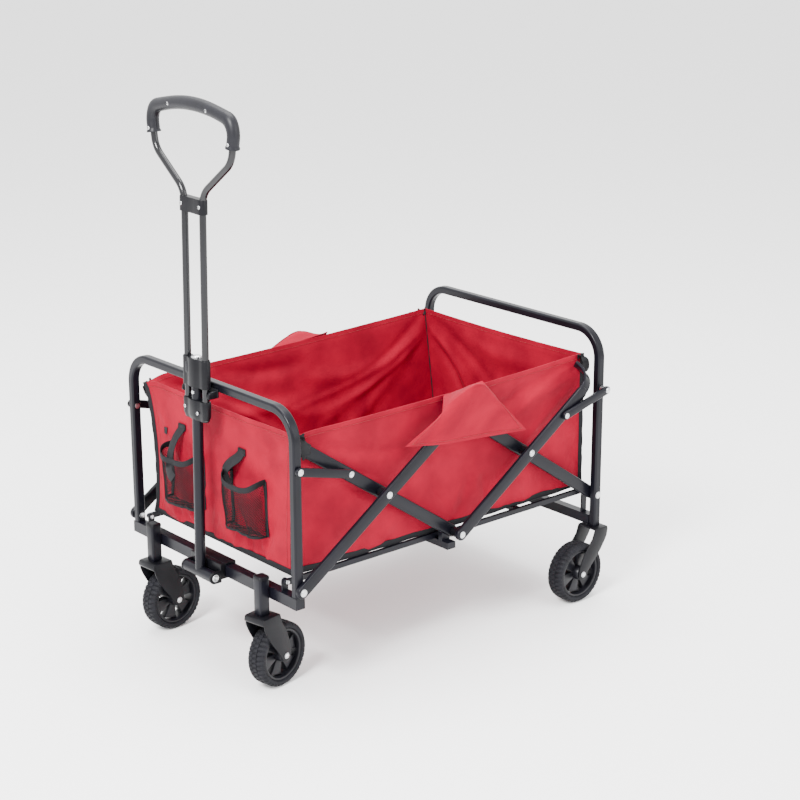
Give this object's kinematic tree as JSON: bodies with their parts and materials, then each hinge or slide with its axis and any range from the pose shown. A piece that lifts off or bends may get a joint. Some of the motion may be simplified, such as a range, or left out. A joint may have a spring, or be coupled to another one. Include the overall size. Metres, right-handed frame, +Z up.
{
  "type": "folding wagon",
  "caption": "Folding utility wagon: a fabric tub in a scissor frame on two swivel and two fixed wheels, pulled by a telescopic tilting loop handle.",
  "frame": {"origin": "on the floor under the middle of the whole wagon's outline", "axes": "+Z up, +X across the wagon, -Y the handle end, so the wagon is pulled towards -Y"},
  "size_m": [0.5658, 0.8258, 1.0667],
  "materials": {
    "powder_coat": "satin black powder coat",
    "zinc_steel": "bright zinc plate",
    "tyre_rubber": "moulded tread",
    "hub_plastic": "moulded",
    "red_polyester": "coated oxford weave",
    "mat_cloth": "oxford weave over board",
    "black_mesh": "open mesh",
    "black_webbing": "ribbed webbing",
    "grip_plastic": "fine grain",
    "black_plastic": "moulded",
    "silver_cap": "bright"
  },
  "bodies": {
    "front_frame": {"front_frame_tube": "powder_coat", "front_cross_bar": "powder_coat", "caster_sockets": "powder_coat", "caster_socket_caps": "black_plastic", "handle_saddle": "black_plastic", "handle_clip": "black_plastic", "front_frame_fasteners": "zinc_steel", "basket": "red_polyester", "floor_mat": "mat_cloth", "cup_pocket_left": "black_mesh", "cup_pocket_right": "black_mesh", "pocket_straps": "black_webbing"},
    "outer_front_bars": {"outer_front_bar_left": "powder_coat", "outer_front_bar_right": "powder_coat", "outer_front_rivets": "zinc_steel", "side_flaps": "red_polyester"},
    "inner_front_bars": {"inner_front_bar_left": "powder_coat", "inner_front_bar_right": "powder_coat", "inner_front_spacers": "black_plastic", "front_corner_caps": "black_plastic", "centre_cross_bar": "powder_coat"},
    "inner_rear_bars": {"inner_rear_bar_left": "powder_coat", "inner_rear_bar_right": "powder_coat", "inner_rear_spacers": "black_plastic"},
    "outer_rear_bars": {"outer_rear_bar_left": "powder_coat", "outer_rear_bar_right": "powder_coat", "outer_rear_rivets": "zinc_steel", "rear_corner_caps": "black_plastic"},
    "rear_frame": {"rear_frame_tube": "powder_coat", "rear_cross_bar": "powder_coat", "rear_wheel_bracket_left": "powder_coat", "rear_wheel_bracket_right": "powder_coat", "rear_frame_fasteners": "zinc_steel"},
    "front_links": {"front_links": "powder_coat"},
    "rear_links": {"rear_links": "powder_coat"},
    "front_floor_rails": {"front_floor_rails": "powder_coat"},
    "rear_floor_rails": {"rear_floor_rails": "powder_coat"},
    "caster_left": {"caster_fork_left": "powder_coat", "caster_hardware_left": "zinc_steel"},
    "caster_right": {"caster_fork_right": "powder_coat", "caster_hardware_right": "zinc_steel"},
    "front_wheel_left": {"front_hub_left": "hub_plastic", "front_tyre_left": "tyre_rubber"},
    "front_wheel_right": {"front_hub_right": "hub_plastic", "front_tyre_right": "tyre_rubber"},
    "rear_wheel_left": {"rear_hub_left": "hub_plastic", "rear_tyre_left": "tyre_rubber"},
    "rear_wheel_right": {"rear_hub_right": "hub_plastic", "rear_tyre_right": "tyre_rubber"},
    "lower_handle": {"handle_lower_tube": "powder_coat", "handle_tube_cap": "silver_cap", "lock_block": "black_plastic"},
    "upper_handle": {"handle_loop_tube": "powder_coat", "grip_front": "grip_plastic", "grip_rear": "grip_plastic", "handle_clamp": "black_plastic", "handle_collar": "black_plastic", "handle_screws": "zinc_steel"},
    "lock_button": {"lock_button": "black_plastic"}
  },
  "joints": [
    {"name": "fold", "type": "hinge", "parent": "front_frame", "child": "outer_front_bars", "pos_m": [0, -0.3651, 0.217], "axis": [1, 0, 0], "range_deg": [0, 43], "deforming": ["basket", "floor_mat", "side_flaps"]},
    {"name": "front_crossing", "type": "hinge", "parent": "outer_front_bars", "child": "inner_front_bars", "pos_m": [0, -0.1651, 0.35394], "axis": [1, 0, 0], "range_deg": [-86, 0]},
    {"name": "high_centre", "type": "hinge", "parent": "outer_front_bars", "child": "inner_rear_bars", "pos_m": [0, 0.0149, 0.47719], "axis": [1, 0, 0], "range_deg": [-86, 0]},
    {"name": "rear_crossing", "type": "hinge", "parent": "inner_rear_bars", "child": "outer_rear_bars", "pos_m": [0, 0.1949, 0.35394], "axis": [1, 0, 0], "range_deg": [0, 86]},
    {"name": "rear_leg_pivot", "type": "hinge", "parent": "inner_rear_bars", "child": "rear_frame", "pos_m": [0, 0.3949, 0.217], "axis": [1, 0, 0], "range_deg": [0, 43]},
    {"name": "front_link_pivot", "type": "hinge", "parent": "front_frame", "child": "front_links", "pos_m": [0, -0.3651, 0.4425], "axis": [1, 0, 0], "range_deg": [0, 89.7]},
    {"name": "rear_link_pivot", "type": "hinge", "parent": "rear_frame", "child": "rear_links", "pos_m": [0, 0.3949, 0.4425], "axis": [1, 0, 0], "range_deg": [-89.7, 0]},
    {"name": "front_rail_pivot", "type": "hinge", "parent": "front_frame", "child": "front_floor_rails", "pos_m": [0, -0.3641, 0.2225], "axis": [1, 0, 0], "range_deg": [0, 74.7]},
    {"name": "rear_rail_pivot", "type": "hinge", "parent": "rear_frame", "child": "rear_floor_rails", "pos_m": [0, 0.3939, 0.2225], "axis": [1, 0, 0], "range_deg": [-74.7, 0]},
    {"name": "left_caster_swivel", "type": "hinge", "parent": "front_frame", "child": "caster_left", "pos_m": [-0.174, -0.3861, 0.18], "axis": [0, 0, 1], "continuous": true},
    {"name": "right_caster_swivel", "type": "hinge", "parent": "front_frame", "child": "caster_right", "pos_m": [0.174, -0.3861, 0.18], "axis": [0, 0, 1], "continuous": true},
    {"name": "front_left_wheel_spin", "type": "hinge", "parent": "caster_left", "child": "front_wheel_left", "pos_m": [-0.1769, -0.34921, 0.062], "axis": [0.9969, 0.0785, 0], "continuous": true},
    {"name": "front_right_wheel_spin", "type": "hinge", "parent": "caster_right", "child": "front_wheel_right", "pos_m": [0.16719, -0.34973, 0.062], "axis": [0.9829, 0.184, 0], "continuous": true},
    {"name": "rear_left_wheel_spin", "type": "hinge", "parent": "rear_frame", "child": "rear_wheel_left", "pos_m": [-0.251, 0.3439, 0.062], "axis": [1, 0, 0], "continuous": true},
    {"name": "rear_right_wheel_spin", "type": "hinge", "parent": "rear_frame", "child": "rear_wheel_right", "pos_m": [0.251, 0.3439, 0.062], "axis": [1, 0, 0], "continuous": true},
    {"name": "handle_tilt", "type": "hinge", "parent": "front_frame", "child": "lower_handle", "pos_m": [0, -0.3984, 0.184], "axis": [1, 0, 0], "range_deg": [0, 90]},
    {"name": "handle_slide", "type": "slide", "parent": "lower_handle", "child": "upper_handle", "axis": [0, -0.0185, -0.9998], "range_m": [0, 0.25]},
    {"name": "lock_press", "type": "slide", "parent": "lower_handle", "child": "lock_button", "axis": [0, 0.9998, -0.0185], "range_m": [0, 0.0025], "stiffness_N_per_m": 600}
  ],
  "couplings": [
    {"joint": "front_crossing", "follows": "fold", "ratio": -2},
    {"joint": "high_centre", "follows": "fold", "ratio": -2},
    {"joint": "rear_crossing", "follows": "fold", "ratio": 2},
    {"joint": "rear_leg_pivot", "follows": "fold", "ratio": 1},
    {"joint": "front_link_pivot", "follows": "fold", "ratio": 2.086},
    {"joint": "rear_link_pivot", "follows": "fold", "ratio": -2.086},
    {"joint": "front_rail_pivot", "follows": "fold", "ratio": 1.737},
    {"joint": "rear_rail_pivot", "follows": "fold", "ratio": -1.737}
  ]
}
